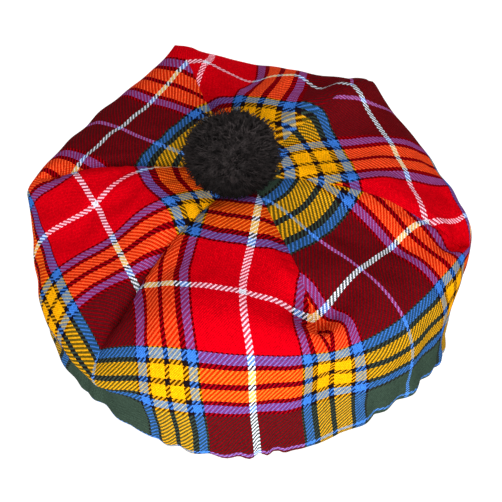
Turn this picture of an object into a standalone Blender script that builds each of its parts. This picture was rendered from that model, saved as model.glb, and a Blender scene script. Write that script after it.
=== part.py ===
"""Tam o'shanter: a soft six-gore bonnet of woven wool with a yarn pompom.

The cloth is one strip. Its zigzag top edge makes six triangular gores, which six radiating seams
draw together into the crown. The strip runs on unbroken over the rim and down the side, folds
under at the bottom and is gathered by an elastic casing round the head opening. The hat keeps
its form on a table, resting on that casing.

A place round the cloth runs from 0 to 12, anticlockwise from above: each gore takes 2, from its
first seam to the next one, and "across" is -1 at the first, 0 in the gore's middle and +1 at the
next. "Down" is the distance down the cloth from the apex. Sizes are in millimetres, and every mesh
is scaled to metres as it is made. The front is towards -Y, +Z is up, and the origin is on the table
under the middle of the hat.
"""
from collections import namedtuple
import math
import random

import bmesh
import bpy
import numpy as np

COLLECTION = "tam_o_shanter"
MM = 0.001

# The strip of cloth, in millimetres
GORE_COUNT = 6
SEAM_END = 122.5            # down the middle of a gore to the end of the crown seams
GORE_WIDTH = 141.5          # across a gore where its seams end
CLOTH = 1.4                 # thickness of the wool with its turned edges
TIP = 6.0                   # the gores' tips stop this far from the apex, under the pompom
UNDER_START = 214.0         # where the cloth lies flat under the bottom fold
UNDER_END = 244.0           # where the cloth meets the elastic casing
GAP = 0.5                   # between two gores
RIM_GAP = 0.9               # between a gore and the side, where the cloth bends
NORMAL_REACH = 3.0          # the cloth's direction is read over this distance on each side
SEAM_GROOVE = 2.5           # the turned edges sink this deep along a seam
GROOVE_WIDTH = 6.0
GROOVE_FADE = 4.0           # the groove runs out over this much cloth at the seam's end
SEAM_HOLD = 2.5             # a higher power keeps what a seam does closer to the seam
FIRST_SEAM_AZIMUTH = -129.0 # first seam of the front gore, in degrees from +X
CROWN_SHIFT = (-4.0, 5.0)   # the crown has slid a little off the middle of the base
SHIFT_FADES_FROM = 110.0    # down the cloth: the whole shift above here, none at the bottom fold
BOTTOM_FOLD = 207.5
GATHERS = 48
CENTRE = (-3.3, -0.4)       # middle of the finished hat, taken off every point

# The gathered casing round the head opening
CASING_INNER = 86.0
CASING_OUTER = 98.2
CASING_HEIGHT = 5.0
CASING_BEVEL = 1.3
CASING_RIPPLE = 0.5

# The pompom
POMPOM_RADIUS = 24.5        # to the roots of the locks
LOCK_LENGTH = (2.5, 5.0)    # shortest and longest
POMPOM_LEAN = (-7.0, -6.0)  # of its middle from the apex
POMPOM_RISE = 25.0          # of its middle above the apex
POMPOM_SEAT_GAP = 0.35
POMPOM_COVERS = 60.0        # its underside follows the crown this far down the cloth, at most
POMPOM_SEED = 7

# Facets
COLUMNS_AROUND = 2 * GATHERS
COLUMNS_PER_GORE = COLUMNS_AROUND // GORE_COUNT
GORE_ROWS = (TIP, 20.0, 38.0, 56.0, 74.0, 92.0, 108.0, SEAM_END - RIM_GAP / 2)
SIDE_ROWS = (SEAM_END + RIM_GAP / 2, 128.0, 135.0, 143.0, 154.0, 167.0, 181.0, 194.0, 202.0, 206.0,
             210.0, UNDER_START)
UNDER_ROWS = (UNDER_START + RIM_GAP, 222.0, 233.0, UNDER_END)

# Half section of the plain hat: radius and height at the middle of a gore and at a seam, and how
# far the gathers ripple outwards and upwards there.
Level = namedtuple("Level", "down mid_radius mid_height seam_radius seam_height ripple_out ripple_up")
LEVELS = (
    #     down   mid r  mid z  seam r seam z  out   up
    Level(0.0,   0.0,   98.0,  0.0,   98.0,   0.0,  0.0),
    Level(30.0,  30.0,  104.0, 31.0,  104.0,  0.0,  0.0),
    Level(57.0,  60.0,  101.0, 65.0,  103.0,  0.0,  0.0),
    Level(98.0,  93.0,  93.0,  105.0, 96.0,   0.0,  0.0),
    Level(122.5, 115.0, 85.0,  128.0, 85.0,   0.0,  0.0),
    Level(140.0, 128.0, 74.0,  134.0, 70.0,   0.0,  0.0),
    Level(156.0, 133.0, 58.0,  132.0, 55.0,   0.0,  0.0),
    Level(172.0, 132.0, 41.0,  128.0, 39.0,   0.2,  0.0),
    Level(190.0, 131.0, 22.5,  128.0, 22.5,   0.8,  0.0),
    Level(202.0, 131.0, 10.5,  129.0, 10.5,   1.6,  -0.3),
    Level(207.5, 129.5, 5.5,   128.0, 5.5,    1.6,  -0.8),
    Level(214.0, 124.0, 3.0,   123.0, 3.0,    0.6,  -1.2),
    Level(226.0, 112.0, 3.0,   111.0, 3.0,    0.0,  -1.2),
    Level(244.0, 98.8,  3.6,   98.8,  3.6,    0.0,  -0.6),
)

# The parts of a gore and of a seam that rise or stand out on their own: where the middle of each is
# down the cloth, and how far it spreads
Zone = namedtuple("Zone", "down half_width")
GORE_TOP, GORE_SHOULDER, GORE_SIDE = Zone(62.0, 30.0), Zone(115.0, 32.0), Zone(158.0, 26.0)
SEAM_INNER, SEAM_RIM, SEAM_SIDE = Zone(60.0, 26.0), Zone(108.0, 30.0), Zone(152.0, 28.0)

# How each gore stands up or out from the plain section
Gore = namedtuple("Gore", "name top_up shoulder_up shoulder_out side_up side_out color")
GORES = (
    #    name           top   sh up  sh out side up side out
    Gore("gore_1",      5.0,  18.0,  9.0,   11.0,   4.0,  (0.60, 0.02, 0.05)),
    Gore("gore_2",      -7.0, -2.0,  -1.0,  -2.0,   -1.0, (0.16, 0.03, 0.05)),
    Gore("gore_3",      -5.0, -6.0,  5.0,   -4.0,   -5.0, (0.55, 0.03, 0.05)),
    Gore("gore_4",      5.0,  6.0,   -1.0,  -1.0,   -1.0, (0.40, 0.03, 0.04)),
    Gore("gore_5",      -2.0, 0.0,   -1.0,  -1.0,   -1.0, (0.14, 0.03, 0.05)),
    Gore("gore_6",      7.0,  -9.0,  -6.0,  -1.0,   -3.0, (0.50, 0.03, 0.05)),
)

# How each seam is drawn up or out; seam 1 is at the left of the front gore
Seam = namedtuple("Seam", "inner_up rim_up rim_out side_up side_out")
SEAMS = (
    #    inner  rim up rim out side up side out
    Seam(0.0,   -19.0, -9.0,   -5.0,   4.0),
    Seam(-3.0,  0.0,   -7.0,   7.0,    -5.0),
    Seam(-2.0,  -17.0, 3.0,    -7.0,   -2.0),
    Seam(2.0,   9.0,   -1.0,   -4.0,   -3.0),
    Seam(-4.0,  11.0,  1.0,    3.0,    3.0),
    Seam(-3.0,  -13.0, 0.0,    -2.0,   5.0),
)

# Soft bumps and dents: where each lies, its half width (in half gores) and half length down the
# cloth, and how far it comes out and up at its middle
Fold = namedtuple("Fold", "name gore across down half_width half_length out up")
FOLDS = (
    #    name             gore across down   width length out   up
    Fold("corner_dimple", 1,   -1.00, 102.0, 0.42, 14.0,  4.0,  -16.0),
    Fold("right_crease",  2,   -0.55, 118.0, 0.45, 20.0,  1.0,  -8.0),
    Fold("right_notch",   2,   -0.65, 160.0, 0.40, 16.0,  7.0,  -1.0),
    Fold("back_swag",     3,   -0.58, 100.0, 0.20, 18.0,  0.0,  -8.0),
    Fold("back_hollow",   3,   0.30,  98.0,  0.28, 22.0,  -2.0, -9.0),
    Fold("right_sag",     1,   0.35,  98.0,  0.35, 25.0,  0.0,  -7.0),
    Fold("hem_lift",      1,   -0.30, 205.0, 0.80, 18.0,  -3.0, 7.0),
    Fold("left_hollow",   5,   0.45,  60.0,  0.50, 22.0,  -5.0, 1.0),
    Fold("side_bulge",    0,   -0.50, 175.0, 0.40, 22.0,  9.0,  6.0),
)

# Colours (linear), roughness
CLOTH_ROUGHNESS = 0.9
SIDE_COLOR = (0.52, 0.24, 0.04)
UNDER_COLOR = (0.05, 0.08, 0.06)
CASING_COLOR = (0.04, 0.06, 0.05)
YARN_COLOR = (0.012, 0.012, 0.014)


def column(table, name):
    """One named column of a table as an array."""
    return np.array([getattr(row, name) for row in table])


def along(down, name):
    """A column of LEVELS read at any distance down the cloth, as a smooth (Hermite) curve."""
    places, values = column(LEVELS, "down"), column(LEVELS, name)
    slopes = np.gradient(values, places)
    i = np.clip(np.searchsorted(places, down, side="right") - 1, 0, len(places) - 2)
    step = places[i + 1] - places[i]
    t = (down - places[i]) / step
    start, end = values[i], values[i + 1]
    return ((1 + 2 * t) * (1 - t) ** 2 * start + t * (1 - t) ** 2 * step * slopes[i]
            + t * t * (3 - 2 * t) * end + t * t * (t - 1) * step * slopes[i + 1])


def bell(distance, half_width):
    """1 in the middle, falling smoothly away on both sides."""
    return np.exp(-(distance / half_width) ** 2)


def share(down, zone):
    """How much of a zone's rise there is at a distance down the cloth."""
    return bell(down - zone.down, zone.half_width)


def gore_width(down):
    """Across a gore, seam to seam, at a distance down the cloth."""
    return np.minimum(GORE_WIDTH * down / SEAM_END, GORE_WIDTH)


def cloth_points(place, down):
    """The outer face of the cloth, in millimetres, for arrays of places round and down it."""
    gore = (place // 2).astype(int) % GORE_COUNT
    across = place % 2 - 1.0
    swell = across ** 2
    hump = 1.0 - swell
    seam_radius = along(down, "seam_radius")
    ahead = along(down, "mid_radius") * hump + seam_radius * math.cos(math.pi / 6) * swell
    sideways = across * seam_radius * math.sin(math.pi / 6)
    up = along(down, "mid_height") * hump + along(down, "seam_height") * swell

    def at_gore(name):
        return column(GORES, name)[gore] * hump

    near_first, near_next = np.clip(-across, 0, 1) ** SEAM_HOLD, np.clip(across, 0, 1) ** SEAM_HOLD

    def at_seams(name):
        values = column(SEAMS, name)
        return values[gore] * near_first + values[(gore + 1) % GORE_COUNT] * near_next

    shoulder, side = share(down, GORE_SHOULDER), share(down, GORE_SIDE)
    rim, flank = share(down, SEAM_RIM), share(down, SEAM_SIDE)
    out = at_gore("shoulder_out") * shoulder + at_gore("side_out") * side
    out += at_seams("rim_out") * rim + at_seams("side_out") * flank
    up += at_gore("top_up") * share(down, GORE_TOP) + at_seams("inner_up") * share(down, SEAM_INNER)
    up += at_gore("shoulder_up") * shoulder + at_gore("side_up") * side
    up += at_seams("rim_up") * rim + at_seams("side_up") * flank

    for fold in FOLDS:
        middle = 2 * fold.gore + 1 + fold.across
        away = (place - middle + GORE_COUNT) % (2 * GORE_COUNT) - GORE_COUNT
        size = bell(away, fold.half_width) * bell(down - fold.down, fold.half_length)
        out += fold.out * size
        up += fold.up * size

    from_seam = (1.0 - np.abs(across)) * gore_width(down) / 2
    sewn = np.clip((SEAM_END - down) / GROOVE_FADE, 0, 1)
    up -= SEAM_GROOVE * np.exp(-from_seam / GROOVE_WIDTH) * sewn

    ripple = np.cos(math.tau * GATHERS * place / (2 * GORE_COUNT))
    out += along(down, "ripple_out") * ripple
    up += along(down, "ripple_up") * ripple

    radius = np.hypot(ahead, sideways)
    stretch = 1.0 + out / np.maximum(radius, 1.0)
    azimuth = (np.radians(FIRST_SEAM_AZIMUTH + 360 / GORE_COUNT * (gore + 0.5))
               + np.arctan2(sideways, np.maximum(ahead, 1e-6)))
    fade = np.clip((BOTTOM_FOLD - down) / (BOTTOM_FOLD - SHIFT_FADES_FROM), 0, 1)
    shift = fade ** 2 * (3 - 2 * fade)
    x = radius * stretch * np.cos(azimuth) + CROWN_SHIFT[0] * shift - CENTRE[0]
    y = radius * stretch * np.sin(azimuth) + CROWN_SHIFT[1] * shift - CENTRE[1]
    return np.stack([x, y, up], axis=-1)


def add_material(obj, color, roughness):
    """The sub-part's own finish, named after it."""
    material = bpy.data.materials.new(obj.name + "_finish")
    material.use_nodes = True
    shader = material.node_tree.nodes["Principled BSDF"]
    shader.inputs["Base Color"].default_value = (*color, 1.0)
    shader.inputs["Roughness"].default_value = roughness
    shader.inputs["Metallic"].default_value = 0.0
    obj.data.materials.append(material)


def add_object(name, mesh, color, roughness=CLOTH_ROUGHNESS):
    """A mesh made in millimetres, as a named object in the hat's collection."""
    mesh.transform(((MM, 0, 0, 0), (0, MM, 0, 0), (0, 0, MM, 0), (0, 0, 0, 1)))
    mesh.shade_smooth()
    obj = bpy.data.objects.new(name, mesh)
    bpy.data.collections[COLLECTION].objects.link(obj)
    add_material(obj, color, roughness)
    return obj


def cloth_inwards(place, down):
    """Unit directions into the hat, read across a few millimetres so that joined edges agree."""
    aside = NORMAL_REACH / (gore_width(down) / 2)
    around = cloth_points(place + aside, down) - cloth_points(place - aside, down)
    below = cloth_points(place, down + NORMAL_REACH) - cloth_points(place, down - NORMAL_REACH)
    inwards = np.cross(around, below)
    return inwards / np.linalg.norm(inwards, axis=-1, keepdims=True)


def loft(name, points, round_the_hat):
    """A closed solid through sections, which are the columns of points.

    Each section is a closed loop. The sections join end to end round the hat, or else the first
    and the last are capped.
    """
    rows, columns = points.shape[:2]
    number = np.arange(rows * columns).reshape(rows, columns)
    below = np.roll(number, -1, axis=0)
    if round_the_hat:
        beside, below_beside = np.roll(number, -1, axis=1), np.roll(below, -1, axis=1)
        quads = np.stack([number, below, below_beside, beside], axis=-1)
    else:
        quads = np.stack([number[:, :-1], below[:, :-1], below[:, 1:], number[:, 1:]], axis=-1)
    faces = quads.reshape(-1, 4).tolist()
    if not round_the_hat:
        half = rows // 2
        for i in range(half - 1):
            faces.append([number[i, 0], number[-1 - i, 0], number[-2 - i, 0], number[i + 1, 0]])
            faces.append([number[i, -1], number[i + 1, -1], number[-2 - i, -1], number[-1 - i, -1]])
    mesh = bpy.data.meshes.new(name)
    mesh.from_pydata(points.reshape(-1, 3).tolist(), [], [[int(i) for i in face] for face in faces])
    return mesh


def cloth_wall(name, place, down, round_the_hat):
    """A wall of cloth over a grid of places: its outer face, and its inner face behind that."""
    outer = cloth_points(place, down)
    inner = outer + CLOTH * cloth_inwards(place, down)
    return loft(name, np.concatenate([outer, inner[::-1]]), round_the_hat)


def make_gore(index):
    """One triangular gore, from just off the apex to the rim, a hair inside its seams."""
    rows = np.array(GORE_ROWS)[:, None]
    half_width = gore_width(rows) / 2
    spread = np.linspace(-1.0, 1.0, COLUMNS_PER_GORE + 1)[None, :]
    across = spread * (1.0 - GAP / 2 / half_width)
    down = np.broadcast_to(rows, across.shape)
    row = GORES[index]
    mesh = cloth_wall(row.name, 2 * index + 1 + across, down, round_the_hat=False)
    add_object(row.name, mesh, row.color)


def make_ring(name, rows, color):
    """A closed ring of the strip, through its rows, rippled by the gathers."""
    columns = np.arange(COLUMNS_AROUND) * 2 * GORE_COUNT / COLUMNS_AROUND
    place, down = np.meshgrid(columns, np.array(rows))
    add_object(name, cloth_wall(name, place, down, round_the_hat=True), color)


def make_hem_casing():
    """The elastic casing: a flat-bottomed ring whose upper side is rippled by the gathers."""
    b, ripple = CASING_BEVEL, CASING_RIPPLE
    section = (
        # radius             height             ripple upwards
        (CASING_INNER + b,   0.0,               0.0),
        (CASING_OUTER - b,   0.0,               0.0),
        (CASING_OUTER,       b,                 0.0),
        (CASING_OUTER,       CASING_HEIGHT - b, ripple),
        (CASING_OUTER - b,   CASING_HEIGHT,     ripple),
        (CASING_INNER + b,   CASING_HEIGHT,     ripple),
        (CASING_INNER,       CASING_HEIGHT - b, ripple),
        (CASING_INNER,       b,                 0.0),
    )
    angle = np.radians(FIRST_SEAM_AZIMUTH) + math.tau * np.arange(COLUMNS_AROUND) / COLUMNS_AROUND
    wave = np.cos(GATHERS * (angle - angle[0]))
    rings = [np.stack([radius * np.cos(angle) - CENTRE[0], radius * np.sin(angle) - CENTRE[1],
                       height + lift * wave], axis=-1) for radius, height, lift in section]
    mesh = loft("hem_casing", np.stack(rings[::-1]), round_the_hat=True)
    add_object("hem_casing", mesh, CASING_COLOR)


def crown_height(radius):
    """The highest cloth at each distance from the apex, for what sits on the crown."""
    down = np.arange(0.0, POMPOM_COVERS + 1.0, 2.0)
    around = np.arange(COLUMNS_AROUND) * 2 * GORE_COUNT / COLUMNS_AROUND
    highest = cloth_points(*np.meshgrid(around, down))[..., 2].max(axis=1)
    return np.interp(radius, along(down, "mid_radius"), highest)


def make_toorie():
    """The pompom: a round core whose every facet is drawn out into a lock of yarn.

    Its underside follows the crown that it is sewn to.
    """
    chance = random.Random(POMPOM_SEED)
    apex = cloth_points(np.array([0.0]), np.array([0.0]))[0]
    middle = apex + np.array([POMPOM_LEAN[0], POMPOM_LEAN[1], POMPOM_RISE])
    bm = bmesh.new()
    bmesh.ops.create_icosphere(bm, subdivisions=3, radius=POMPOM_RADIUS)
    tips = bmesh.ops.poke(bm, faces=bm.faces)["verts"]
    for tip in tips:
        tip.co = tip.co.normalized() * (POMPOM_RADIUS + chance.uniform(*LOCK_LENGTH))
    for vert in bm.verts:
        x, y, z = np.array(vert.co) + middle
        floor = crown_height(math.hypot(x - apex[0], y - apex[1])) + POMPOM_SEAT_GAP
        vert.co = (x, y, max(z, floor))
    mesh = bpy.data.meshes.new("toorie")
    bm.to_mesh(mesh)
    bm.free()
    add_object("toorie", mesh, YARN_COLOR, roughness=1.0)


def main():
    """Clears the scene and builds the hat."""
    for obj in list(bpy.data.objects):
        bpy.data.objects.remove(obj, do_unlink=True)
    bpy.context.scene.collection.children.link(bpy.data.collections.new(COLLECTION))
    for index in range(GORE_COUNT):
        make_gore(index)
    make_ring("side_band", SIDE_ROWS, SIDE_COLOR)
    make_ring("underside_band", UNDER_ROWS, UNDER_COLOR)
    make_hem_casing()
    make_toorie()


main()
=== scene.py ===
"""The looks of a tam o'shanter: twill-woven tartan cloth, gathered elastic hem and yarn pompom.

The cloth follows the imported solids. A place round the hat runs from 0 to 12, anticlockwise from
above, two to a gore, and "across" is -1 at a gore's first seam, 0 in its middle and +1 at the next.
"Down" is the distance down the cloth from the apex. Shapes are worked out in millimetres and
scaled to metres as they become meshes. The front is towards -Y and +Z is up.
"""

import logging
import math
from dataclasses import dataclass
from enum import Enum
from typing import NamedTuple

import bpy
import numpy as np
from bpy.types import Material, Node, Object
from bpy.types import NodeSocket as Socket
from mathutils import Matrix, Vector


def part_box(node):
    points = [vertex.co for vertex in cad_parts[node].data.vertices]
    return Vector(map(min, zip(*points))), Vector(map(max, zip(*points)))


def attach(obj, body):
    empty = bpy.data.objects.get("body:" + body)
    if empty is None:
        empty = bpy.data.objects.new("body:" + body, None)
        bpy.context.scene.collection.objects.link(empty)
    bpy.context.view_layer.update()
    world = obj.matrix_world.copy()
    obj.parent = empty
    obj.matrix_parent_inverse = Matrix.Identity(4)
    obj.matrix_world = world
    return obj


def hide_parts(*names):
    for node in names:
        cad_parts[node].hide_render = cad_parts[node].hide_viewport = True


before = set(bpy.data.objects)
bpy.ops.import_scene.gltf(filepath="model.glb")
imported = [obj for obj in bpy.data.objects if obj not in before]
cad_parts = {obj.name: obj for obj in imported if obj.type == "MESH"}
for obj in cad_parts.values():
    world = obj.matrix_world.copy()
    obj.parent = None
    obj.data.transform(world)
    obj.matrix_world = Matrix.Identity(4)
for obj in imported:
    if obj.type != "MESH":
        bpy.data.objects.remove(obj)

logging.basicConfig(level=logging.INFO, format="%(name)s: %(message)s")
log = logging.getLogger("tam_o_shanter")

Array = np.ndarray
Pair = tuple[float, float]
Triple = tuple[float, float, float]

MM = 0.001
TINY = 1e-9
WHITE_LIGHT = (1.0, 1.0, 1.0, 1.0)
GORES = 6
TURN = 2.0 * GORES
CLOTH_SLOT = "tartan_wool"
YARN_SLOT = "pompom_yarn"


def bell(distance: Array, half_width: float) -> Array:
    """1 in the middle, falling smoothly away: exp(-(distance / half_width) squared)."""
    return np.exp(-(distance / half_width) ** 2)


def smooth(value: Array, low: float | Array, high: float | Array) -> Array:
    """0 below low, 1 above high, and the cubic 3t^2 - 2t^3 between them."""
    t = np.clip((value - low) / (high - low), 0.0, 1.0)
    return t * t * (3.0 - 2.0 * t)


def unit(vectors: Array) -> Array:
    """Vectors scaled to length 1 along the last axis."""
    return vectors / np.maximum(np.linalg.norm(vectors, axis=-1, keepdims=True), TINY)


def joined(*parts: Array) -> Array:
    """Arrays put side by side along a new last axis."""
    return np.stack(parts, axis=-1)


def add_mesh(name: str, points: Array, faces: Array) -> Object:
    """Makes a smooth-shaded object at the origin from millimetre points.

    Args:
        name: The piece's name.
        points: Vertices, one row of x, y and z each, in millimetres.
        faces: Vertex numbers, one row for each face, all with as many corners.

    Returns:
        The linked object.
    """
    mesh = bpy.data.meshes.new(name)
    corners = faces.shape[1]
    mesh.vertices.add(len(points))
    mesh.loops.add(faces.size)
    mesh.polygons.add(len(faces))
    mesh.vertices.foreach_set("co", (points * MM).astype(np.float32).ravel())
    mesh.loops.foreach_set("vertex_index", faces.astype(np.int32).ravel())
    mesh.polygons.foreach_set("loop_start", np.arange(0, faces.size, corners, dtype=np.int32))
    mesh.update(calc_edges=True)
    mesh.validate()
    mesh.shade_smooth()
    piece = bpy.data.objects.new(name, mesh)
    bpy.context.scene.collection.objects.link(piece)
    return piece


def band_faces(grid: Array) -> Array:
    """Faces between neighbouring rows of a grid of vertex numbers whose rows are closed rings."""
    beside = np.roll(grid, -1, axis=1)
    return joined(grid[:-1], grid[1:], beside[1:], beside[:-1]).reshape(-1, 4)


def column(table: tuple[NamedTuple, ...], name: str) -> Array:
    """One named column of a table."""
    return np.array([getattr(row, name) for row in table])


def set_uv(piece: Object, corner_uv: Array) -> None:
    """Stores one (u, v) pair for each face corner as the piece's own UV map."""
    layer = piece.data.uv_layers.new(name="threads")
    layer.uv.foreach_set("vector", corner_uv.astype(np.float32).ravel())


# ---- Form of the cloth ----

class Level(NamedTuple):
    """Half section of the plain hat at one distance down the cloth, in millimetres."""

    down: float
    mid_radius: float
    mid_height: float
    seam_radius: float
    seam_height: float
    ripple_out: float
    ripple_up: float


class GoreForm(NamedTuple):
    """How one gore stands up or out from the plain section."""

    top_up: float
    shoulder_up: float
    shoulder_out: float
    side_up: float
    side_out: float


class SeamForm(NamedTuple):
    """How one seam is drawn up or out."""

    inner_up: float
    rim_up: float
    rim_out: float
    side_up: float
    side_out: float


class Fold(NamedTuple):
    """A soft bump or dent: its gore, place across and down, spread, and rise at its middle."""

    name: str
    gore: int
    across: float
    down: float
    half_width: float
    half_length: float
    out: float
    up: float


class Zone(NamedTuple):
    """Where a rise is centred down the cloth, and how far it spreads."""

    down: float
    half_width: float

    def share(self, down: Array) -> Array:
        """How much of the rise there is at a distance down the cloth."""
        return bell(down - self.down, self.half_width)


LEVELS = (
    #     down   mid r  mid z seam r seam z out  up
    Level(0,     0,     98,   0,     98,    0,   0),
    Level(30,    30,    104,  31,    104,   0,   0),
    Level(57,    60,    101,  65,    103,   0,   0),
    Level(98,    93,    93,   105,   96,    0,   0),
    Level(122.5, 115,   85,   128,   85,    0,   0),
    Level(140,   128,   74,   134,   70,    0,   0),
    Level(156,   133,   58,   132,   55,    0,   0),
    Level(172,   132,   41,   128,   39,    0.2, 0),
    Level(190,   131,   22.5, 128,   22.5,  0.8, 0),
    Level(202,   131,   10.5, 129,   10.5,  1.6, -0.3),
    Level(207.5, 129.5, 5.5,  128,   5.5,   1.6, -0.8),
    Level(214,   124,   3,    123,   3,     0.6, -1.2),
    Level(226,   112,   3,    111,   3,     0,   -1.2),
    Level(244,   98.8,  3.6,  98.8,  3.6,   0,   -0.6),
)

GORE_FORMS = (
    #        top sh up sh out side up side out
    GoreForm(5,  18,   9,     11,     4),
    GoreForm(-7, -2,   -1,    -2,     -1),
    GoreForm(-5, -6,   5,     -4,     -5),
    GoreForm(5,  6,    -1,    -1,     -1),
    GoreForm(-2, 0,    -1,    -1,     -1),
    GoreForm(7,  -9,   -6,    -1,     -3),
)

SEAM_FORMS = (
    #        inner rim up rim out side up side out
    SeamForm(0,    -19,   -9,     -5,     4),
    SeamForm(-3,   0,     -7,     7,      -5),
    SeamForm(-2,   -17,   3,      -7,     -2),
    SeamForm(2,    9,     -1,     -4,     -3),
    SeamForm(-4,   11,    1,      3,      3),
    SeamForm(-3,   -13,   0,      -2,     5),
)

FOLDS = (
    #    name             gore across down width length out up
    Fold("corner_dimple", 1,   -1,    102, 0.42, 14,    4,  -16),
    Fold("right_crease",  2,   -0.55, 118, 0.45, 20,    1,  -8),
    Fold("right_notch",   2,   -0.65, 160, 0.40, 16,    7,  -1),
    Fold("back_swag",     3,   -0.58, 100, 0.20, 18,    0,  -8),
    Fold("back_hollow",   3,   0.30,  98,  0.28, 22,    -2, -9),
    Fold("right_sag",     1,   0.35,  98,  0.35, 25,    0,  -7),
    Fold("hem_lift",      1,   -0.30, 205, 0.80, 18,    -3, 7),
    Fold("left_hollow",   5,   0.45,  60,  0.50, 22,    -5, 1),
    Fold("side_bulge",    0,   -0.50, 175, 0.40, 22,    9,  6),
)

# Softer swells and pinches that the plain solids leave out.
EASES = (
    #    name             gore across down width length out   up
    Fold("hem_front",     0,   0,     206, 1.80, 12,    3,    0),
    Fold("hem_right",     1,   0,     206, 0.80, 12,    1.5,  1.5),
    Fold("right_draw",    2,   0,     130, 0.90, 22,    -3.5, -4),
    Fold("right_tuck",    2,   -1,    200, 0.55, 24,    -9,   0),
    Fold("left_rise",     4,   -1,    125, 1,    25,    2.5,  2.5),
    Fold("left_fullness", 5,   0,     165, 0.60, 22,    4.5,  1),
    Fold("back_sink",     3,   0,     126, 0.60, 20,    -2,   -2),
    Fold("left_corner",   5,   -1,    98,  0.50, 20,    1.5,  4),
    Fold("front_corner",  0,   -1,    98,  0.50, 18,    1,    4),
    Fold("left_inner",    0,   -1,    56,  0.60, 16,    -3.5, 0),
    Fold("back_inner",    4,   -1,    60,  0.60, 18,    3,    0.5),
    Fold("back_corner",   3,   -1,    118, 0.50, 18,    0,    -1.5),
    Fold("right_inner",   3,   -1,    57,  0.40, 14,    3.5,  0.5),
    Fold("left_rim",      5,   0.55,  167, 0.50, 16,    6,    0),
    Fold("dog_ear",       5,   1,     160, 0.35, 14,    5,    -1),
    Fold("swag_fill",     3,   -0.42, 100, 0.22, 14,    0,    4),
    Fold("corner_pit",    1,   0.90,  120, 0.24, 9,     -0.5, -8.5),
    Fold("corner_fill",   2,   -1,    113, 0.15, 12,    1.5,  2),
    Fold("hollow_fill",   3,   0.20,  94,  0.45, 16,    0,    4.5),
    Fold("left_lip",      5,   -1,    124, 0.30, 12,    0,    3),
    Fold("rim_lip",       2,   -0.62, 141, 0.25, 8,     -1.5, 3.5),
    Fold("corner_lip",    2,   -0.85, 140, 0.32, 9,     2.5,  5),
)


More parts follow.
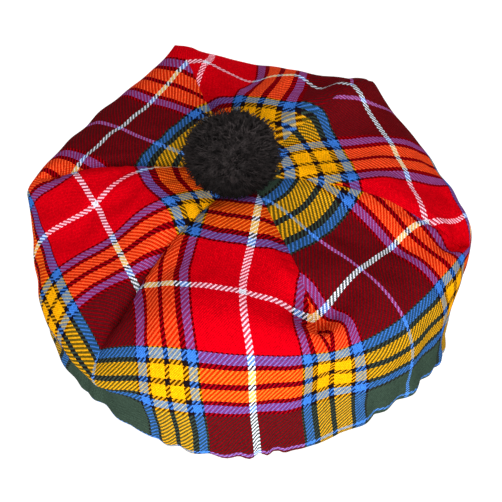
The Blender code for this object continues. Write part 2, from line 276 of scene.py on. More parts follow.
@dataclass
class Drape:
    """The outer face of the cloth as a surface of place and down.

    A gore's section is read from LEVELS at its middle and seams, and goes from one to the other
    with across squared. Gores, seams and folds then move it up or out, each by its height times a
    bell, and the gathers ripple it by a cosine.
    """

    centre: Pair = (-3.3, -0.4)
    first_seam_azimuth: float = -129.0
    seam_end: float = 122.5
    gore_width: float = 141.5
    seam_hold: float = 2.5
    groove_depth: float = 2.5
    groove_width: float = 6.0
    groove_fade: float = 4.0
    crown_shift: Pair = (-4.0, 5.0)
    shift_fades_from: float = 110.0
    bottom_fold: float = 207.5
    gathers: int = 48
    gather_seed: int = 5
    gather_lobes: tuple[int, ...] = (3, 5, 8, 13)
    gather_wander: float = 1.3
    gather_uneven: float = 0.25
    gather_depth: float = 0.6
    gather_scallop: float = 0.5
    gather_fullest: float = 2.8
    gather_shift: float = 0.38
    under_end: float = 244.0
    gore_top: Zone = Zone(62.0, 30.0)
    gore_shoulder: Zone = Zone(115.0, 32.0)
    gore_side: Zone = Zone(158.0, 26.0)
    seam_inner: Zone = Zone(60.0, 26.0)
    seam_rim: Zone = Zone(108.0, 30.0)
    seam_side: Zone = Zone(152.0, 28.0)
    reach: float = 1.5

    def along(self, down: Array, name: str) -> Array:
        """A column of LEVELS at any distance down, as a smooth Hermite curve through its rows."""
        places, values = column(LEVELS, "down"), column(LEVELS, name)
        slopes = np.gradient(values, places)
        i = np.clip(np.searchsorted(places, down, side="right") - 1, 0, len(places) - 2)
        step = places[i + 1] - places[i]
        t = (down - places[i]) / step
        return ((1 + 2 * t) * (1 - t) ** 2 * values[i] + t * (1 - t) ** 2 * step * slopes[i]
                + t * t * (3 - 2 * t) * values[i + 1] + t * t * (t - 1) * step * slopes[i + 1])

    def width(self, down: Array) -> Array:
        """Across a gore from seam to seam: it grows evenly to the end of the seams."""
        return np.minimum(self.gore_width * down / self.seam_end, self.gore_width)

    def gather_wave(self, place: Array) -> Array:
        """The gathers' ripple round the hat: a wave whose phase and height both wander.

        The wave mixes a cosine with rounded scallops, 2 |cos(x / 2)| - 1. The wander is a sum of
        slow sines with seeded phases, so no two gathers are alike.
        """
        rng = np.random.default_rng(self.gather_seed)
        turn = math.tau * place / TURN
        phase, height = np.zeros_like(turn), np.ones_like(turn)
        for lobes in self.gather_lobes:
            phase += self.gather_wander * np.sin(lobes * turn + rng.uniform(0, math.tau))
            height += self.gather_uneven * np.sin(2 * lobes * turn + rng.uniform(0, math.tau))
        lap = self.gathers * turn + phase
        wave = np.cos(lap) + self.gather_scallop * (2 * np.abs(np.cos(lap / 2)) - 1 - np.cos(lap))
        side = np.cos(turn - math.tau * self.gather_fullest / TURN)
        return self.gather_depth * (1 + self.gather_shift * (side - 1)) * height * wave

    def points(self, place: Array, down: Array) -> Array:
        """The main form of the cloth.

        Args:
            place: Places round the hat, 0 to 12.
            down: Distances down the cloth, of the same shape.

        Returns:
            Points in millimetres, with x, y and z along a new last axis.
        """
        gore = (place // 2).astype(int) % GORES
        across = place % 2 - 1.0
        swell = across ** 2
        hump = 1.0 - swell
        seam_radius = self.along(down, "seam_radius")
        half_gore = math.pi / GORES
        ahead = self.along(down, "mid_radius") * hump + seam_radius * math.cos(half_gore) * swell
        sideways = across * seam_radius * math.sin(half_gore)
        up = self.along(down, "mid_height") * hump + self.along(down, "seam_height") * swell

        def at_gore(name: str) -> Array:
            """A gore's own rise, strongest in its middle."""
            return column(GORE_FORMS, name)[gore] * hump

        near_first = np.clip(-across, 0, 1) ** self.seam_hold
        near_next = np.clip(across, 0, 1) ** self.seam_hold

        def at_seams(name: str) -> Array:
            """The rise of the two seams beside a place, strongest at each."""
            values = column(SEAM_FORMS, name)
            return values[gore] * near_first + values[(gore + 1) % GORES] * near_next

        shoulder, side = self.gore_shoulder.share(down), self.gore_side.share(down)
        rim, flank = self.seam_rim.share(down), self.seam_side.share(down)
        out = at_gore("shoulder_out") * shoulder + at_gore("side_out") * side
        out += at_seams("rim_out") * rim + at_seams("side_out") * flank
        up += at_gore("top_up") * self.gore_top.share(down)
        up += at_seams("inner_up") * self.seam_inner.share(down)
        up += at_gore("shoulder_up") * shoulder + at_gore("side_up") * side
        up += at_seams("rim_up") * rim + at_seams("side_up") * flank

        for fold in FOLDS + EASES:
            away = (place - 2 * fold.gore - 1 - fold.across + GORES) % TURN - GORES
            size = bell(away, fold.half_width) * bell(down - fold.down, fold.half_length)
            out += fold.out * size
            up += fold.up * size

        from_seam = (1.0 - np.abs(across)) * self.width(down) / 2
        sewn = np.clip((self.seam_end - down) / self.groove_fade, 0, 1)
        up -= self.groove_depth * np.exp(-from_seam / self.groove_width) * sewn

        ripple = self.gather_wave(place)
        out += self.along(down, "ripple_out") * ripple
        up += self.along(down, "ripple_up") * ripple

        radius = np.hypot(ahead, sideways)
        stretched = radius + out * np.clip(radius, 0, 1)
        azimuth = (np.radians(self.first_seam_azimuth + 360 / GORES * (gore + 0.5))
                   + np.arctan2(sideways, np.maximum(ahead, TINY)))
        shift = smooth(self.bottom_fold - down, 0.0, self.bottom_fold - self.shift_fades_from)
        x = stretched * np.cos(azimuth) + self.crown_shift[0] * shift - self.centre[0]
        y = stretched * np.sin(azimuth) + self.crown_shift[1] * shift - self.centre[1]
        return joined(x, y, up)

    def outwards(self, place: Array, down: Array) -> Array:
        """Unit directions out of the hat, from the cross product of two short steps on it."""
        aside = self.reach / np.maximum(self.width(down) / 2, self.reach)
        around = self.points(place + aside, down) - self.points(place - aside, down)
        below = self.points(place, down + self.reach) - self.points(place, down - self.reach)
        return unit(np.cross(below, around))


class ThreadSpan(NamedTuple):
    """Where one gore lies in the weave, in millimetres along the strip from a white line.

    It gives the gore's middle on the crown and how fast it is drawn aside down the crown, then
    both seams' lines on the side and at the hem, and how far the middle is carried there.
    """

    middle: float
    aside: float
    first_side: float
    next_side: float
    first_hem: float
    next_hem: float
    carried: float


@dataclass
class StripLayout:
    """Where each place on the hat lies in the woven strip.

    On the crown a gore is a flat triangle of the strip, so its threads run straight out from its
    middle. Below the seams the strip is whole and shares one count of threads, and the layout
    passes smoothly between the two. Near the bottom fold the gathers carry the threads aside, and
    in front on the right they take up more of them than the drape is long.
    """

    drape: Drape
    triangle_spread: float = 1.1547
    crown_end: float = 80.0
    crown_end_at_seam: float = 100.0
    side_start: float = 150.0
    side_start_at_seam: float = 145.0
    taken_up_from: float = 178.0
    taken_up: float = 0.30
    taken_up_at: float = 2.2
    taken_up_spread: float = 1.9
    carried_from: float = 165.0
    aside_about: float = 90.0
    aside_from: float = 10.0
    aside_full: float = 60.0
    spans: tuple[ThreadSpan, ...] = (
        #          middle aside first next first  next   carried
        ThreadSpan(594,   0,    505,  657, 508,   656.5, -2),
        ThreadSpan(719,   0,    657,  786, 656.5, 782,   5),
        ThreadSpan(865,   0,    786,  936, 782,   936,   0),
        ThreadSpan(157,   0.21, 82,   224, 82,    224,   0),
        ThreadSpan(290,   0,    224,  359, 224,   359,   0),
        ThreadSpan(426,   0,    359,  505, 359,   503,   20),
    )

    def threads(self, gore: Array, across: Array, down: Array) -> Array:
        """The place in the strip, as (along it, down it) in metres.

        Args:
            gore: Which gore each place belongs to, 0 to 5.
            across: The place across it, -1 to +1.
            down: The distance down the cloth, in millimetres.

        Returns:
            UV pairs along a new last axis.
        """
        span = ThreadSpan(*np.moveaxis(np.array(self.spans)[gore], -1, 0))
        swell = across ** 2
        spread = np.minimum(self.triangle_spread * down, self.drape.gore_width)
        # Near the apex the gore is too narrow for the whole slant, which would fold its threads.
        slant = span.aside * smooth(down, self.aside_from, self.aside_full)
        slant = slant * (down - self.aside_about)
        crown = span.middle + across * spread / 2 + slant * (1 - swell)
        low = smooth(down, self.carried_from, self.drape.bottom_fold)
        first = span.first_side + (span.first_hem - span.first_side) * low
        last = span.next_side + (span.next_hem - span.next_side) * low
        side = (first + last) / 2 + across * (last - first) / 2
        side += span.carried * low * (1 - swell)
        start = self.crown_end + (self.crown_end_at_seam - self.crown_end) * swell
        end = self.side_start + (self.side_start_at_seam - self.side_start) * swell
        along = crown + (side - crown) * smooth(down, start, end)
        away = (2 * gore + 1 + across - self.taken_up_at + GORES) % TURN - GORES
        below = np.maximum(down - self.taken_up_from, 0.0)
        taken = self.taken_up * bell(away, self.taken_up_spread) * below
        return joined(along, down + taken) * MM


# ---- Finishes ----

class Wiring:
    """A material's node tree, with short calls that add a node and join its sockets."""

    def __init__(self, name: str) -> None:
        """Starts a material that holds its shader and output alone."""
        self.material = bpy.data.materials.new(name)
        self.material.use_nodes = True
        self.tree = self.material.node_tree
        self.shader = self.tree.nodes["Principled BSDF"]

    def feed(self, socket: Socket, value: object) -> None:
        """Joins a socket to another, or sets it where the value is a number or colour."""
        if isinstance(value, Socket):
            self.tree.links.new(value, socket)
        else:
            socket.default_value = value

    def node(self, kind: str, *values: object, **settings: object) -> Node:
        """Adds a node, sets its properties and feeds its first inputs in order."""
        made = self.tree.nodes.new("ShaderNode" + kind)
        for name, value in settings.items():
            setattr(made, name, value)
        for socket, value in zip(made.inputs, values):
            self.feed(socket, value)
        return made

    def dress(self, inputs: dict[str, object]) -> None:
        """Feeds the shader's inputs by name."""
        for name, value in inputs.items():
            self.feed(self.shader.inputs[name], value)

    def math(self, operation: str, *values: object) -> Socket:
        """A Math node's result."""
        return self.node("Math", *values, operation=operation).outputs[0]

    def vector(self, operation: str, *values: object) -> Socket:
        """A Vector Math node's vector result."""
        return self.node("VectorMath", *values, operation=operation).outputs[0]

    def scaled(self, vector: object, factor: object) -> Socket:
        """A vector times a number."""
        made = self.node("VectorMath", vector, operation="SCALE")
        self.feed(made.inputs["Scale"], factor)
        return made.outputs[0]

    def dot(self, left: object, right: object) -> Socket:
        """The dot product of two vectors."""
        made = self.node("VectorMath", left, right, operation="DOT_PRODUCT")
        return made.outputs["Value"]

    def pick(self, factor: object, without: object, with_it: object) -> Socket:
        """One vector where the factor is 0 and another where it is 1."""
        made = self.node("Mix", factor, data_type="VECTOR")
        self.feed(made.inputs[4], without)
        self.feed(made.inputs[5], with_it)
        return made.outputs[1]

    def pick_number(self, factor: object, without: object, with_it: object) -> Socket:
        """One number where the factor is 0 and another where it is 1."""
        made = self.node("Mix", factor, data_type="FLOAT")
        self.feed(made.inputs[2], without)
        self.feed(made.inputs[3], with_it)
        return made.outputs[0]

    def noise(self, where: object, scale: float, detail: float = 2.0) -> Socket:
        """Noise from 0 to 1 at a place."""
        made = self.node("TexNoise", where)
        made.inputs["Scale"].default_value = scale
        made.inputs["Detail"].default_value = detail
        return made.outputs["Fac"]


class Wool(Enum):
    """The dyed yarns: red, green and blue as displayed, and how strongly each tints others."""

    WHITE = (0.90, 0.89, 0.95, 0.50)
    RED = (0.83, 0.0, 0.095, 0.80)
    BLACK = (0.12, 0.09, 0.10, 0.30)
    BLUE = (0.235, 0.465, 0.83, 0.74)
    YELLOW = (0.975, 0.66, 0.06, 0.58)
    GREEN = (0.215, 0.275, 0.235, 0.32)
    AZURE = (0.32, 0.56, 0.94, 0.70)


class Stripe(NamedTuple):
    """One stripe of the sett, and its width in the warp and in the weft, in millimetres."""

    wool: Wool
    warp: float
    weft: float


@dataclass(frozen=True)
class TwillTartan:
    """Wool woven in a two-and-two twill, the same stripes along the strip and down it.

    At each crossing of a warp and a weft thread, one lies on top: the warp where the sum of the
    two threads' numbers, divided by four, leaves less than two. That makes the slanting ribs. The
    thread on top is tinted a little by the one below, as fibres of both show.
    """

    name: str = "tartan_wool_twill"
    thread: float = 0.75
    float_threads: float = 2.0
    roundness: float = 0.6
    warp_pivot: float = 0.0
    weft_pivot: float = 98.0
    half_sett: tuple[Stripe, ...] = (
        Stripe(Wool.WHITE, 1.7, 1.7),
        Stripe(Wool.RED, 28.9, 35.4),
        Stripe(Wool.BLACK, 1.5, 1.5),
        Stripe(Wool.BLUE, 5.5, 5.5),
        Stripe(Wool.BLACK, 3.2, 3.2),
        Stripe(Wool.YELLOW, 8.5, 8.5),
        Stripe(Wool.BLACK, 3.1, 3.1),
        Stripe(Wool.YELLOW, 8.5, 8.5),
        Stripe(Wool.BLACK, 3.0, 3.0),
        Stripe(Wool.BLUE, 5.5, 5.5),
        Stripe(Wool.BLACK, 2.0, 2.0),
        Stripe(Wool.GREEN, 28.2, 32.0),
        Stripe(Wool.AZURE, 1.4, 1.4),
    )
    tint: float = 0.44
    warm_tint: float = 0.25
    weft_lead: float = 0.15
    dimming: float = 0.12
    warm_dimming: float = 0.58
    deepening: float = 0.76
    brightness_parts: float = 4.0
    # Painted shade between the floats and painted highlight on their crests, scaling the yarn
    # colour.
    painted_groove_shade: float = 0.27
    painted_crest_highlight: float = 0.13
    relief: float = 0.12
    heather: float = 0.16
    heather_scale: float = 0.9
    heather_stretch: float = 0.12
    mottle: float = 0.22
    mottle_scale: float = 900.0
    mottle_detail: float = 3.0
    weft_offset: float = 9.0
    display_gamma: float = 2.2
    brightness: Triple = (0.299, 0.587, 0.114)
    roughness: float = 0.85
    specular: float = 0.004
    sheen: float = 0.04
    sheen_roughness: float = 0.5

    def stripes(self, wires: Wiring, threads: object, pivot: float, width: str) -> Node:
        """The dye of a numbered thread.

        Args:
            wires: The material being made.
            threads: A socket with the thread's number.
            pivot: Where a white line's middle lies, in millimetres.
            width: The name of the stripes' width column.

        Returns:
            A ramp node whose colour is the dye and whose alpha is its depth.
        """
        widths = [float(size) for size in column(self.half_sett, width)]
        half = sum(widths)
        offset = self.thread / 2 - pivot
        place = wires.math("MULTIPLY_ADD", threads, self.thread, offset)
        from_pivot = wires.math("DIVIDE", wires.math("PINGPONG", place, half), half)
        ramp = wires.node("ValToRGB", from_pivot)
        ramp.color_ramp.interpolation = "CONSTANT"
        stops = ramp.color_ramp.elements
        stops.remove(stops[1])
        start = 0.0
        for stripe, size in zip(self.half_sett, widths):
            stop = stops[0] if start == 0.0 else stops.new(start / half)
            stop.color = stripe.wool.value
            start += size
        return ramp

    def build(self) -> Material:
        """Wires the weave from the piece's own UV map."""
        wires = Wiring(self.name)
        where = wires.node("UVMap", uv_map="threads").outputs[0]
        split = wires.node("SeparateXYZ", wires.scaled(where, 1.0 / (self.thread * MM)))
        along, down = split.outputs[0], split.outputs[1]
        warp, weft = wires.math("FLOOR", along), wires.math("FLOOR", down)
        step = wires.math("FLOORED_MODULO", wires.math("ADD", warp, weft), 2 * self.float_threads)
        warp_up = wires.math("LESS_THAN", step, self.float_threads - 0.5)
        warp_dye = self.stripes(wires, warp, self.warp_pivot, "warp")
        weft_dye = self.stripes(wires, weft, self.weft_pivot, "weft")
        top = wires.pick(warp_up, weft_dye.outputs[0], warp_dye.outputs[0])
        under = wires.pick(warp_up, warp_dye.outputs[0], weft_dye.outputs[0])
        strength = wires.pick_number(warp_up, warp_dye.outputs[1], weft_dye.outputs[1])
        lead = wires.math("MULTIPLY_ADD", warp_up, self.weft_lead * 2, 1.0 - self.weft_lead)
        colour = self.blended(wires, top, under, wires.math("MULTIPLY", strength, lead))
        colour = wires.scaled(colour, self.deepened(wires, warp_dye, weft_dye))
        height = self.float_height(wires, along, down, step, warp_up)
        # Painted shade and highlight: the colour is darkened at the float ends and lifted on the
        # crests.
        shade = wires.math("MULTIPLY_ADD", height, self.painted_groove_shade + self.painted_crest_highlight, 1.0 - self.painted_groove_shade)
        uneven = self.unevenness(wires, along, down, warp, weft, warp_up)
        shaded = wires.scaled(colour, wires.math("MULTIPLY", shade, uneven))
        seen = wires.vector("MAXIMUM", shaded, (0, 0, 0))
        seen = wires.vector("POWER", seen, (self.display_gamma,) * 3)
        bump = wires.node("Bump", 1.0, self.relief * MM)
        wires.feed(bump.inputs["Height"], height)
        wires.dress({"Base Color": seen, "Sheen Tint": seen, "Normal": bump.outputs[0],
                     "Roughness": self.roughness, "Specular IOR Level": self.specular,
                     "Sheen Weight": self.sheen, "Sheen Roughness": self.sheen_roughness})
        return wires.material

    def unevenness(self, wires: Wiring, along: object, down: object, warp: object, weft: object,
                   warp_up: object) -> Socket:
        """A factor near 1 that varies from yarn to yarn and along each, and mottles the pile.

        One noise is read at the upper thread's number and, much stretched, along it; the other is
        fine and lies in the piece's own space.
        """
        far_down = wires.math("MULTIPLY", down, self.heather_stretch)
        far_along = wires.math("MULTIPLY", along, self.heather_stretch)
        on_warp = wires.node("CombineXYZ", warp, far_down).outputs[0]
        on_weft = wires.node("CombineXYZ", far_along, weft, self.weft_offset).outputs[0]
        yarn = wires.noise(wires.pick(warp_up, on_weft, on_warp), self.heather_scale)
        where = wires.node("TexCoord").outputs["Object"]
        pile = wires.noise(where, self.mottle_scale, self.mottle_detail)
        heathered = wires.math("MULTIPLY_ADD", yarn, self.heather * 2, 1.0 - self.heather)
        mottled = wires.math("MULTIPLY_ADD", pile, self.mottle * 2, 1.0 - self.mottle)
        return wires.math("MULTIPLY", heathered, mottled)

    def deepened(self, wires: Wiring, warp_dye: Node,
                 weft_dye: Node) -> Socket:
        """A factor that darkens crossings of yarns unlike in strength but alike in brightness."""
        unlike = wires.math("SUBTRACT", warp_dye.outputs[1], weft_dye.outputs[1])
        unlike = wires.math("ABSOLUTE", unlike)
        lights = [wires.dot(dye.outputs[0], self.brightness) for dye in (warp_dye, weft_dye)]
        parted = wires.math("ABSOLUTE", wires.math("SUBTRACT", *lights))
        alike = wires.math("MULTIPLY_ADD", parted, -self.brightness_parts, 1.0)
        merged = wires.math("MULTIPLY", unlike, wires.math("MAXIMUM", alike, 0.0))
        return wires.math("MULTIPLY_ADD", merged, -self.deepening, 1.0)

    def blended(self, wires: Wiring, top: object, under: object, strength: object) -> Socket:
        """The upper thread's display colour, tinted by the lower one's.

        The tint grows with the upper thread's warmth and the lower one's strength, and a weft
        thread tints the warp more than the warp tints it. A dark upper thread is lit up a little
        by a pale lower one, and a warm, pale one takes on more of the lower one's brightness.
        """
        bright_top = wires.dot(top, self.brightness)
        bright_under = wires.dot(under, self.brightness)
        hue_top = wires.vector("SUBTRACT", top, bright_top)
        hue_under = wires.vector("SUBTRACT", under, bright_under)
        warmth = wires.math("MAXIMUM", wires.dot(top, (1.0, 0.0, -1.0)), 0.0)
        tint = wires.math("MULTIPLY_ADD", warmth, self.warm_tint, self.tint)
        tint = wires.math("MULTIPLY", tint, strength)
        hue_change = wires.scaled(wires.vector("SUBTRACT", hue_under, hue_top), tint)
        dimmed = wires.math("MULTIPLY_ADD", bright_top, -self.dimming, self.dimming)
        warmed = wires.math("MULTIPLY", wires.math("MULTIPLY", warmth, strength),
                            wires.math("MULTIPLY", bright_top, self.warm_dimming))
        bright = wires.math("MULTIPLY_ADD", wires.math("SUBTRACT", bright_under, bright_top),
                            wires.math("ADD", dimmed, warmed), bright_top)
        return wires.vector("ADD", wires.vector("ADD", hue_top, hue_change), bright)

    def float_height(self, wires: Wiring, along: object, down: object, step: object,
                     warp_up: object) -> Socket:
        """How far the upper thread bulges: round across it, and sinking at both ends of its float.

        A float is two threads long. Its height is the sine of the way along it, times a parabola
        across the thread.
        """
        part_along, part_down = wires.math("FRACT", along), wires.math("FRACT", down)
        on_weft = wires.math("SUBTRACT", wires.math("ADD", step, part_along), self.float_threads)
        on_warp = wires.math("ADD", step, part_down)
        reached = wires.pick_number(warp_up, on_weft, on_warp)
        arch = wires.math("SINE", wires.math("MULTIPLY", reached, math.pi / self.float_threads))
        side = wires.pick_number(warp_up, part_down, part_along)
        off = wires.math("MULTIPLY_ADD", side, 2.0, -1.0)
        lower = wires.math("MULTIPLY", wires.math("MULTIPLY", off, off), self.roundness)
        return wires.math("MULTIPLY", arch, wires.math("SUBTRACT", 1.0, lower))


@dataclass(frozen=True)
class BlackYarn:
    """Cut black yarn: nearly black, greyer from strand to strand, with painted light on top, shade
    below.
    """

    name: str = "black_pompom_yarn"
    dark: Triple = (0.009, 0.0075, 0.0075)
    light: Triple = (0.038, 0.031, 0.031)
    heights: Pair = (0.108, 0.148)
    painted_light_range: Pair = (0.15, 1.6)
    noise_range: Pair = (0.4, 0.7)
    roughness: float = 0.7
    specular: float = 0.08
    clump: float = 260.0

    def build(self) -> Material:
        """Mixes the two greys by a fine noise in the piece's own space."""
        wires = Wiring(self.name)
        where = wires.node("TexCoord").outputs["Object"]
        spread = wires.noise(where, self.clump)
        ramp = wires.node("ValToRGB", spread)
        low, high = ramp.color_ramp.elements
        low.position, high.position = self.noise_range
        low.color, high.color = (*self.dark, 1.0), (*self.light, 1.0)
        # Painted light: the colour is scaled from dark low down to light at the top, as if lit from
        # above.
        height = wires.node("SeparateXYZ", where).outputs[2]
        painted_top_light = wires.node("MapRange", height, *self.heights, *self.painted_light_range).outputs[0]
        wires.dress({"Base Color": wires.scaled(ramp.outputs[0], painted_top_light),
                     "Roughness": self.roughness, "Specular IOR Level": self.specular})
        return wires.material


@dataclass(frozen=True)
class PaleFloor:
    """The plain pale surface that the hat lies on."""

    name: str = "pale_floor"
    colour: Triple = (0.25, 0.25, 0.25)
    roughness: float = 0.9
    glow: float = 0.95

    def build(self) -> Material:
        """A matt, even white that glows a little, as a studio table lit from below."""
        wires = Wiring(self.name)
        wires.dress({"Base Color": (*self.colour, 1.0), "Roughness": self.roughness,
                     "Specular IOR Level": 0.0, "Emission Color": WHITE_LIGHT,
                     "Emission Strength": self.glow})
        return wires.material


# ---- Pieces ----

@dataclass
class TartanCloth:
    """The whole strip of cloth: six gores seamed into the crown, the side and the underside."""

    drape: Drape
    layout: StripLayout
    finish: Material
    columns_per_gore: int = 72
    rows: int = 104
    crowding: float = 0.45
    thickness: float = 1.2
    tip: float = 3.0
    ease_seed: int = 11
    ease: float = 0.7
    ease_start: Pair = (20.0, 80.0)
    ease_waves: tuple[tuple[int, float], ...] = (
        # times round the hat, and length down it in millimetres
        (5, 90.0), (9, 60.0), (14, 75.0), (23, 45.0), (31, 38.0))
    ease_share: float = 2.2
    sewn_start: Pair = (10.0, 40.0)
    sewn_end: Pair = (-4.0, 8.0)
    pucker: float = 0.45
    pucker_pitch: float = 7.0
    pucker_at: float = 3.0
    pucker_wander: float = 1.7
    pucker_wander_length: float = 11.0
    pucker_turn: float = 2.0
    allowance: float = 0.5
    allowance_at: float = 9.0
    allowance_width: float = 4.0

    def relief(self, place: Array, down: Array) -> Array:
        """Fine rise of the cloth outwards from the drape, in millimetres.

        It adds up soft unevenness, a sum of seeded sines of place and down; the turned edges
        beside each seam, a low bell; and puckers, a sine down the seam that dies away from it.
        """
        rng = np.random.default_rng(self.ease_seed)
        turn = math.tau * place / TURN
        uneven = np.zeros_like(down)
        for lobes, length in self.ease_waves:
            phase, lean = rng.uniform(0, math.tau, 2)
            uneven += np.sin(lobes * turn + phase + np.sin(math.tau * down / length + lean))
        uneven *= self.ease * smooth(down, *self.ease_start) / self.ease_share
        across = place % 2 - 1.0
        from_seam = (1.0 - np.abs(across)) * self.drape.width(down) / 2
        sewn = smooth(self.drape.seam_end - down, *self.sewn_end) * smooth(down, *self.sewn_start)
        edges = self.allowance * bell(from_seam - self.allowance_at, self.allowance_width)
        seam = np.round(place / 2)
        wander = np.sin(down / self.pucker_wander_length + self.pucker_turn * seam)
        wave = np.sin(math.tau * down / self.pucker_pitch + self.pucker_wander * wander)
        off = from_seam / self.pucker_at
        return uneven + sewn * (edges + self.pucker * wave * off * np.exp(1 - off))

    def build(self) -> Object:
        """Lays the grid over the drape, gives it an inner face and sets its threads."""
        steps = np.linspace(-1.0, 1.0, self.columns_per_gore, endpoint=False)
        across = steps + self.crowding * np.sin(math.pi * steps) / math.pi
        place = (2 * np.arange(GORES)[:, None] + 1 + across[None, :]).ravel()
        down = np.linspace(self.tip, self.drape.under_end, self.rows)
        place_grid, down_grid = np.meshgrid(place, down)
        outwards = self.drape.outwards(place_grid, down_grid)
        outer = self.drape.points(place_grid, down_grid)
        outer += outwards * self.relief(place_grid, down_grid)[..., None]
        inner = outer - outwards * self.thickness
        columns = len(place)
        ring = np.arange(self.rows * columns).reshape(self.rows, columns)
        inner_ring = ring + ring.size
        poles = np.stack([outer[0].mean(axis=0), inner[0].mean(axis=0)])
        pole = 2 * ring.size
        outer_end, inner_end = ring[-1], inner_ring[-1]
        hem = joined(outer_end, inner_end, np.roll(inner_end, -1), np.roll(outer_end, -1))
        tips = self.caps(ring[0], pole), self.caps(inner_ring[0], pole + 1)[:, ::-1]
        faces = np.concatenate([band_faces(ring), band_faces(inner_ring)[:, ::-1], hem, *tips])
        points = np.concatenate([outer.reshape(-1, 3), inner.reshape(-1, 3), poles])
        piece = add_mesh("bonnet_cloth", points, faces)
        set_uv(piece, self.corner_threads(place, down, faces, ring.size))
        piece.data.materials.append(self.finish)
        return piece

    @staticmethod
    def caps(ring: Array, pole: int) -> Array:
        """Faces from every second stretch of a ring to its pole, each over two columns."""
        first, second, third = ring[::2], ring[1::2], np.roll(ring[::2], -1)
        return joined(np.full_like(first, pole), first, second, third)

    def corner_threads(self, place: Array, down: Array, faces: Array,
                       layer: int) -> Array:
        """Thread coordinates of each face corner.

        A face belongs to one gore, so its last column is read at +1 there and not at -1 in the
        next gore, which keeps the two weaves apart along their seam.
        """
        columns = len(place)
        index = faces % layer
        is_pole = faces >= 2 * layer
        column = np.where(is_pole, np.roll(faces, -1, axis=1) % layer % columns, index % columns)
        row = np.where(is_pole, 0, index // columns)
        whole = place[column]
        first = whole.min(axis=1, keepdims=True)
        wraps = whole.max(axis=1, keepdims=True) - first > GORES
        whole = np.where(wraps & (whole < GORES), whole + TURN, whole)
        middle = whole.mean(axis=1, keepdims=True)
        gore = np.broadcast_to((middle // 2).astype(int), whole.shape)
        across = np.clip(whole - 2 * gore - 1.0, -1.0, 1.0)
        return self.layout.threads(gore % GORES, across, np.where(is_pole, 0.0, down[row]))


@dataclass
class ElasticHem:
    """The cloth channel round the head opening, drawn into fine gathers by its elastic."""

    drape: Drape
    finish: Material
    inner: float = 86.0
    outer: float = 98.2
    height: float = 5.0
    columns: int = 576
    section: int = 20
    squareness: float = 0.62
    pleats: int = 96
    pleat_depth: float = 0.8
    pleat_seed: int = 23
    pleat_lobes: tuple[int, ...] = (4, 7, 12, 19)
    pleat_wander: float = 0.8
    press_middle: float = 0.45
    press_top: float = 0.55
    cloth_from: float = 258.5
    cloth_width: float = 34.0

    def build(self) -> Object:
        """Carries a rounded section round the opening.

        The section is a superellipse. The pleats press it in by a cosine of the turn, whose phase
        wanders, and fade towards the flat underside.
        """
        rng = np.random.default_rng(self.pleat_seed)
        turn = np.arange(self.columns) * math.tau / self.columns
        lap = np.arange(self.section) * math.tau / self.section
        wander = sum(self.pleat_wander * np.sin(lobes * turn + rng.uniform(0, math.tau))
                     for lobes in self.pleat_lobes)
        wave = np.cos(self.pleats * turn + wander)
        turn_grid, lap_grid = np.meshgrid(turn, lap)
        cos_lap, sin_lap = np.cos(lap_grid), np.sin(lap_grid)
        half_width, half_height = (self.outer - self.inner) / 2, self.height / 2
        press = self.pleat_depth * (wave[None, :] - 1) / 2
        press = press * (self.press_middle + self.press_top * sin_lap)
        out = np.sign(cos_lap) * np.abs(cos_lap) ** self.squareness * (half_width + press)
        up = np.sign(sin_lap) * np.abs(sin_lap) ** self.squareness * (half_height + press)
        radius = (self.inner + self.outer) / 2 + out
        azimuth = turn_grid + math.radians(self.drape.first_seam_azimuth)
        points = joined(radius * np.cos(azimuth) - self.drape.centre[0],
                        radius * np.sin(azimuth) - self.drape.centre[1], half_height + up)
        grid = np.arange(points[..., 0].size).reshape(points.shape[:2])
        beside, above = np.roll(grid, -1, axis=1), np.roll(grid, -1, axis=0)
        faces = joined(grid, beside, np.roll(beside, -1, axis=0), above).reshape(-1, 4)
        piece = add_mesh("elastic_hem", points.reshape(-1, 3), faces)
        set_uv(piece, self.corner_threads(faces))
        piece.data.materials.append(self.finish)
        return piece

    def corner_threads(self, faces: Array) -> Array:
        """Thread coordinates that run on from the underside, gathered to the opening's length."""
        column, row = faces % self.columns, faces // self.columns
        last_column = column.max(axis=1, keepdims=True)
        column = np.where(column < last_column - 1, column + self.columns, column)
        row = np.where(row < row.max(axis=1, keepdims=True) - 1, row + self.section, row)
        along = column * GORES * self.drape.gore_width / self.columns
        down = self.cloth_from + row * self.cloth_width / self.section
        return joined(along, down) * MM


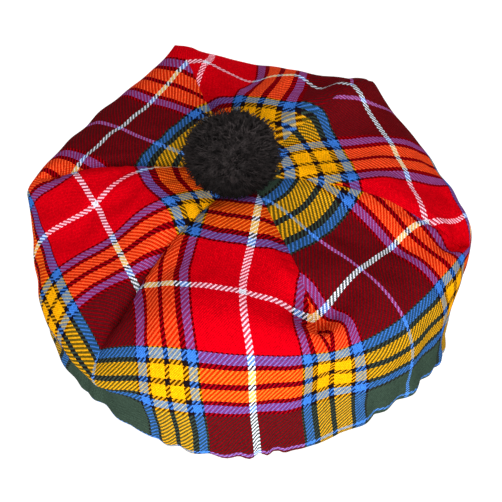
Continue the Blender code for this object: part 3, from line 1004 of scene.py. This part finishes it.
@dataclass
class Pompom:
    """The toorie: a dense ball of cut yarn on the apex of the crown."""

    drape: Drape
    finish: Material
    seed: int = 7
    strands: int = 4600
    batches: int = 3
    rings: int = 7
    sides: int = 3
    root: float = 9.0
    thick: float = 0.52
    thin: float = 0.24
    length_spread: float = 1.5
    stray: float = 0.04
    stray_length: float = 2.0
    curl: float = 7.5
    tresses: float = 4.0
    tress_seed: int = 5
    tousle: float = 0.35
    crimp: float = 1.1
    crimps: float = 2.2
    core: float = 0.86
    fullness: float = 0.88
    offset: Triple = (-2.3, 0.0, -2.2)
    spread: Triple = (1.07, 1.0, 0.98)
    lumps: float = 0.05
    seat: float = 0.4
    crown_reach: float = 60.0
    crown_step: float = 2.0
    crown_columns: int = 96
    curl_range: Pair = (0.3, 1.0)
    width_range: Pair = (0.7, 1.2)
    core_rows: int = 48
    core_pole: float = 0.02
    core_lump: float = 0.02
    core_lobes: tuple[int, int] = (9, 7)

    def crown_height(self, radius: Array) -> Array:
        """The highest cloth at each distance from the apex, which the yarn rests on."""
        down = np.arange(0.0, self.crown_reach, self.crown_step)
        around = np.linspace(0.0, TURN, self.crown_columns, endpoint=False)
        highest = self.drape.points(*np.meshgrid(around, down))[..., 2].max(axis=1)
        return np.interp(radius, self.drape.along(down, "mid_radius"), highest)

    def seated(self, points: Array, apex: Array) -> Array:
        """Lifts points that would sink into the crown on to its surface."""
        radius = np.hypot(points[..., 0] - apex[0], points[..., 1] - apex[1])
        floor = self.crown_height(radius) + self.seat
        points[..., 2] = np.maximum(points[..., 2], floor)
        return points

    def build(self) -> list[Object]:
        """Makes the dark core and the batches of yarn round it."""
        low, high = (np.array(corner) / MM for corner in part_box("toorie"))
        radius = (high - low)[:2].mean() / 2 * self.fullness
        apex = self.drape.points(np.array([0.0]), np.array([0.0]))[0]
        middle = np.array([*(low + high)[:2] / 2, high[2] - radius]) + self.offset
        rng = np.random.default_rng(self.seed)
        pieces = [self.make_core(middle, radius * self.core, apex)]
        for batch in range(self.batches):
            pieces.append(self.make_yarn(f"toorie_yarn_{batch + 1}", middle, radius, apex, rng))
        return pieces

    def make_core(self, middle: Array, radius: float, apex: Array) -> Object:
        """A lumpy ball behind the strands: latitude and longitude with a sum of sines on it."""
        columns = 2 * self.core_rows
        height = np.linspace(self.core_pole, math.pi - self.core_pole, self.core_rows)
        turn = np.arange(columns) * math.tau / columns
        turn_grid, height_grid = np.meshgrid(turn, height)
        round_it, down_it = self.core_lobes
        lumps = 1 + self.core_lump * np.sin(round_it * turn_grid) * np.sin(down_it * height_grid)
        flat = np.sin(height_grid) * lumps
        points = middle + radius * joined(flat * np.cos(turn_grid), flat * np.sin(turn_grid),
                                          np.cos(height_grid) * lumps)
        points = self.seated(middle + (points - middle) * self.spread, apex)
        grid = np.arange(points[..., 0].size).reshape(points.shape[:2])
        ends = self.fan(np.stack([grid[0][::-1], grid[-1]]))
        faces = np.concatenate([band_faces(grid), ends])
        piece = add_mesh("toorie_core", points.reshape(-1, 3), faces)
        piece.data.materials.append(self.finish)
        return piece

    @staticmethod
    def fan(ends: Array) -> Array:
        """Quads that close each round end: strips between opposite sides of the ring."""
        half = ends.shape[1] // 2
        left = ends[:, :half]
        right = ends[:, ::-1][:, :half]
        return joined(left[:, :-1], left[:, 1:], right[:, 1:], right[:, :-1]).reshape(-1, 4)

    def make_yarn(self, name: str, middle: Array, radius: float, apex: Array,
                  rng: np.random.Generator) -> Object:
        """One batch of strands as a joined mesh.

        A strand starts near the middle of the ball and goes out along its own direction to the
        surface, and curls aside with the square of the way along it. Neighbours curl alike, by
        sines of their directions, which also make the ball lumpy. Each crimps in a sine too. Its
        tube has three sides, tapers to the tip and is closed at both ends.
        """
        count = self.strands
        tress = np.random.default_rng(self.tress_seed)
        tress_ways = tress.normal(0, self.tresses, (3, 3))
        lump_ways = tress.normal(0, self.tresses, (3, 6))
        tress_starts, lump_starts = tress.uniform(0, math.tau, 3), tress.uniform(0, math.tau, 6)
        ways = unit(rng.normal(size=(count, 3)))
        flow = np.sin(ways @ tress_ways + tress_starts) + self.tousle * rng.normal(size=(count, 3))
        asides = unit(np.cross(ways, flow))
        lumpy = 1 + self.lumps * np.sin(ways @ lump_ways + lump_starts).mean(axis=1)
        tips = radius * lumpy + rng.normal(0.0, self.length_spread, count) - self.length_spread
        tips += self.stray_length * (rng.random(count) < self.stray)
        bends = asides * rng.uniform(*self.curl_range, (count, 1)) * self.curl
        t = np.linspace(0.0, 1.0, self.rings)[None, :, None]
        reach = self.root + (tips[:, None, None] - self.root) * t
        spine = middle + ways[:, None] * reach + bends[:, None] * t ** 2
        across = unit(np.cross(ways, asides))[:, None, None]
        lap = math.tau * self.crimps * t + rng.uniform(0, math.tau, (count, 1, 1))
        spine += across[:, 0] * self.crimp * t * np.sin(lap)
        aside = asides[:, None, None]
        angle = (np.arange(self.sides) * math.tau / self.sides)[None, None, :, None]
        width = (self.thick + (self.thin - self.thick) * t ** 2)[..., None]
        width = width * rng.uniform(*self.width_range, (count, 1, 1, 1))
        tube = spine[:, :, None] + width * (np.cos(angle) * aside + np.sin(angle) * across)
        tube = self.seated(middle + (tube - middle) * self.spread, apex)
        grid = np.arange(count * self.rings * self.sides).reshape(count, self.rings, self.sides)
        beside = np.roll(grid, -1, axis=2)
        walls = np.concatenate([joined(grid[:, :-1], beside[:, :-1], beside[:, 1:]),
                                joined(grid[:, :-1], beside[:, 1:], grid[:, 1:])])
        faces = np.concatenate([walls.reshape(-1, 3), grid[:, 0, ::-1], grid[:, -1]])
        piece = add_mesh(name, tube.reshape(-1, 3), faces)
        piece.data.materials.append(self.finish)
        return piece


# ---- Studio ----

class Softbox(NamedTuple):
    """An area light: where it hangs round the hat, its width in metres and its power."""

    name: str
    azimuth: float
    elevation: float
    width: float
    power: float


@dataclass
class Studio:
    """Pale floor, soft lights and the camera at the photograph's angle."""

    target: Triple = (0.0033, 0.0004, 0.045)
    elevation: float = 46.0
    distance: float = 1.060
    focal_length: float = 123.8
    shift: Pair = (-0.0070, -0.0118)
    floor_width: float = 6.0
    sky: float = 0.05
    light_distance: float = 1.8
    lights: tuple[Softbox, ...] = (
        Softbox("front_light", 0.0, 21.0, 1.2, 48.0),
        Softbox("right_light", 115.0, 48.0, 1.6, 20.0),
        Softbox("left_light", 315.0, 48.0, 1.6, 4.0),
        Softbox("back_light", 215.0, 26.0, 1.2, 9.0),
    )

    def around(self, azimuth: float, elevation: float, distance: float) -> Array:
        """A point round the target; azimuth 0 is in front, and 90 is to the right."""
        a, e = math.radians(azimuth), math.radians(elevation)
        away = np.array([math.sin(a) * math.cos(e), -math.cos(a) * math.cos(e), math.sin(e)])
        return np.array(self.target) + distance * away

    def aim(self, thing: Object, place: Array) -> None:
        """Puts a light or camera at a place, looking at the target."""
        thing.location = place
        way = Vector(self.target) - Vector(place)
        thing.rotation_euler = way.to_track_quat("-Z", "Y").to_euler()
        bpy.context.scene.collection.objects.link(thing)

    def build(self) -> None:
        """Adds the floor, world, lights and camera."""
        half = self.floor_width / 2 / MM
        corners = half * np.array([(-1, -1, 0), (1, -1, 0), (1, 1, 0), (-1, 1, 0)])
        floor = add_mesh("studio_floor", corners, np.array([[0, 1, 2, 3]]))
        floor.data.materials.append(PaleFloor().build())
        world = bpy.data.worlds.new("soft_sky")
        world.use_nodes = True
        background = world.node_tree.nodes["Background"]
        background.inputs["Color"].default_value = WHITE_LIGHT
        background.inputs["Strength"].default_value = self.sky
        bpy.context.scene.world = world
        for box in self.lights:
            lamp = bpy.data.lights.new(box.name, "AREA")
            lamp.shape, lamp.size, lamp.energy = "DISK", box.width, box.power
            self.aim(bpy.data.objects.new(box.name, lamp),
                     self.around(box.azimuth, box.elevation, self.light_distance))
        lens = bpy.data.cameras.new("camera")
        lens.lens = self.focal_length
        lens.shift_x, lens.shift_y = self.shift
        camera = bpy.data.objects.new("camera", lens)
        self.aim(camera, self.around(0.0, self.elevation, self.distance))
        bpy.context.scene.camera = camera
        bpy.context.scene.view_settings.view_transform = "Standard"


def main() -> None:
    """Builds each piece, attaches it to the root body, logs its faces, and sets the studio."""
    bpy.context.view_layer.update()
    drape = Drape()
    layout = StripLayout(drape)
    tartan = TwillTartan().build()
    yarn = BlackYarn().build()

    cloth = TartanCloth(drape, layout, tartan).build()
    gores = [f"gore_{number}" for number in range(1, GORES + 1)]
    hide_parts(*gores, "side_band", "underside_band")
    hem = ElasticHem(drape, tartan).build()
    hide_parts("hem_casing")
    pompom = Pompom(drape, yarn).build()
    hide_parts("toorie")
    slots = [(cloth, CLOTH_SLOT), (hem, CLOTH_SLOT), *((part, YARN_SLOT) for part in pompom)]
    for piece, slot in slots:
        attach(piece, "root")
        log.info("%s: %d faces", piece.name, len(piece.data.polygons))

    Studio().build()


if __name__ == "__main__":
    main()
